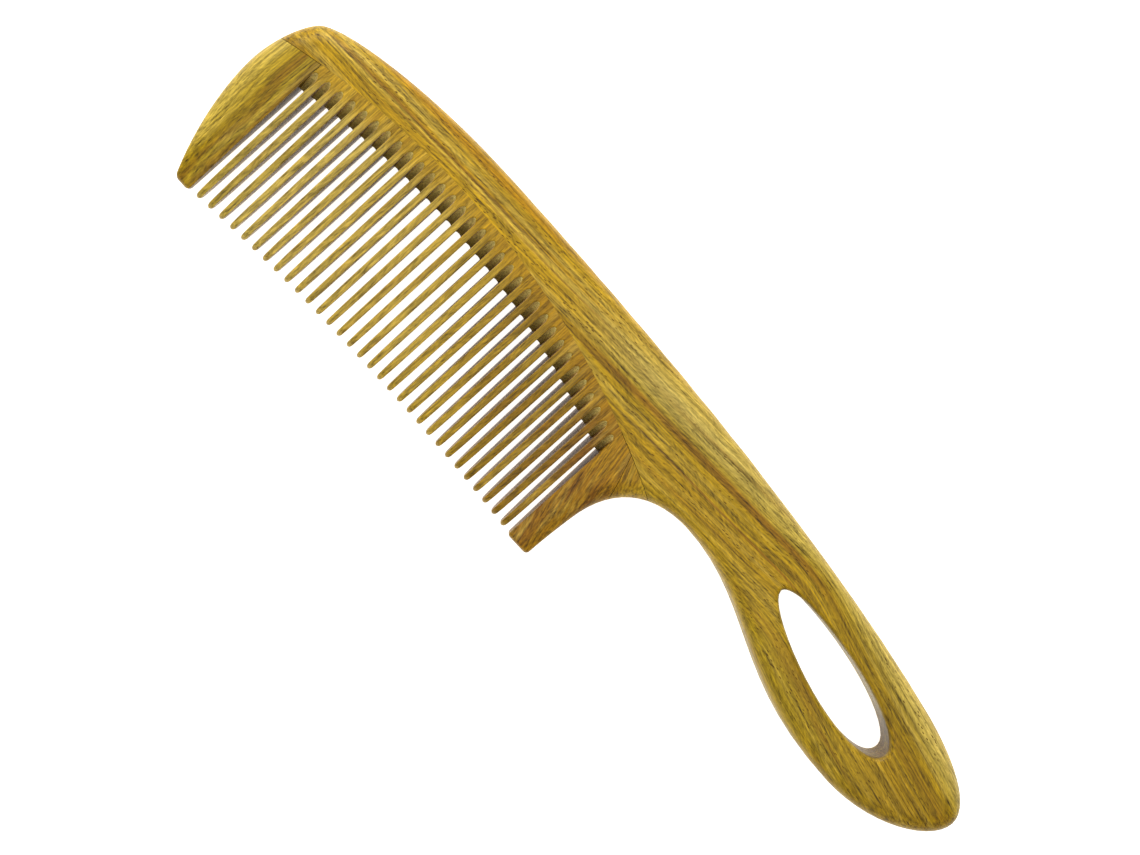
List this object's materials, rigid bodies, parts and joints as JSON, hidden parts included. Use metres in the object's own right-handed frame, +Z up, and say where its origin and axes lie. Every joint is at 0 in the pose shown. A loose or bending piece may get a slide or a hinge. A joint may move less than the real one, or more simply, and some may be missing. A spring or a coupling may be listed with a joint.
{
  "type": "wide tooth comb",
  "caption": "Wooden handled comb: long-grain spine and handle with a slanted finger hole, inset teeth between two guard blocks, for detangling and smoothing hair.",
  "frame": {"origin": "middle of the comb's box in X and Y, on the plane it lies on", "axes": "+X from the head to the handle's end, +Y from the teeth to the back, +Z up through the thickness"},
  "size_m": [0.201, 0.0466, 0.01],
  "materials": {
    "spine_wood": "satin, long grain along the comb",
    "guard_wood": "satin, grain along the teeth",
    "wedge_wood": "satin",
    "tooth_wood": "satin, grain along the teeth"
  },
  "bodies": {
    "root": {"spine_and_handle": "spine_wood", "head_guard": "guard_wood", "heel_guard": "guard_wood", "heel_wedge": "wedge_wood", "tooth_01": "tooth_wood", "tooth_02": "tooth_wood", "tooth_03": "tooth_wood", "tooth_04": "tooth_wood", "tooth_05": "tooth_wood", "tooth_06": "tooth_wood", "tooth_07": "tooth_wood", "tooth_08": "tooth_wood", "tooth_09": "tooth_wood", "tooth_10": "tooth_wood", "tooth_11": "tooth_wood", "tooth_12": "tooth_wood", "tooth_13": "tooth_wood", "tooth_14": "tooth_wood", "tooth_15": "tooth_wood", "tooth_16": "tooth_wood", "tooth_17": "tooth_wood", "tooth_18": "tooth_wood", "tooth_19": "tooth_wood", "tooth_20": "tooth_wood", "tooth_21": "tooth_wood", "tooth_22": "tooth_wood", "tooth_23": "tooth_wood", "tooth_24": "tooth_wood", "tooth_25": "tooth_wood", "tooth_26": "tooth_wood", "tooth_27": "tooth_wood", "tooth_28": "tooth_wood", "tooth_29": "tooth_wood", "tooth_30": "tooth_wood", "tooth_31": "tooth_wood"}
  },
  "joints": []
}
